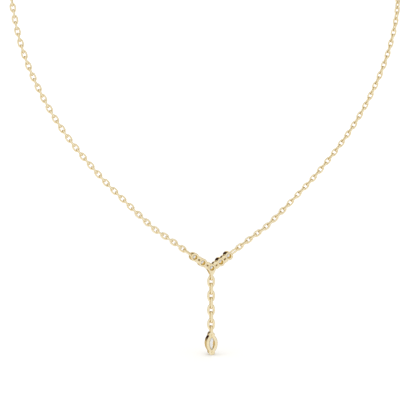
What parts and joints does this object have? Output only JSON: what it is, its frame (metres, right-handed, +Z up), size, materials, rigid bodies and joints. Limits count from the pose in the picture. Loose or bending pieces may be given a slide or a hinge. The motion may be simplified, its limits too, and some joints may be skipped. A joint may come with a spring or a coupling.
{
  "type": "y necklace",
  "caption": "Fine oval-link neck chain with a V bar of round stone settings and pierced discs, and a short chain drop that ends in a swinging marquise pendant.",
  "frame": {"origin": "where the loop rests on the nape of the neck, at the inner face of the clasp", "axes": "+Z up; the front with the V bar faces -Y; +X is the viewer's right from the front; the YZ plane is the plane of symmetry"},
  "size_m": [0.1318, 0.0678, 0.1492],
  "materials": {
    "gold_bar": "polished pale yellow gold",
    "gold_chain": "polished pale yellow gold",
    "gold_drop": "polished pale yellow gold",
    "gold_pendant": "polished pale yellow gold",
    "gold_clasp": "polished pale yellow gold",
    "stone": "clear cut stone"
  },
  "bodies": {
    "root": {"v_bar": "gold_bar", "round_stone_1": "stone", "round_stone_2": "stone", "round_stone_3": "stone", "round_stone_4": "stone", "round_stone_5": "stone", "chain_left": "gold_chain", "chain_right": "gold_chain", "drop_link_1": "gold_drop", "drop_link_2": "gold_drop", "drop_link_3": "gold_drop", "drop_link_4": "gold_drop", "drop_link_5": "gold_drop", "drop_link_6": "gold_drop", "drop_link_7": "gold_drop", "clasp": "gold_clasp"},
    "pendant": {"pendant_setting": "gold_pendant", "marquise_stone": "stone"}
  },
  "joints": [
    {"name": "pendant_swing", "type": "hinge", "parent": "root", "child": "pendant", "pos_m": [0, -0.0648, -0.1381], "axis": [1, 0, 0], "range_deg": [-60, 60]}
  ]
}
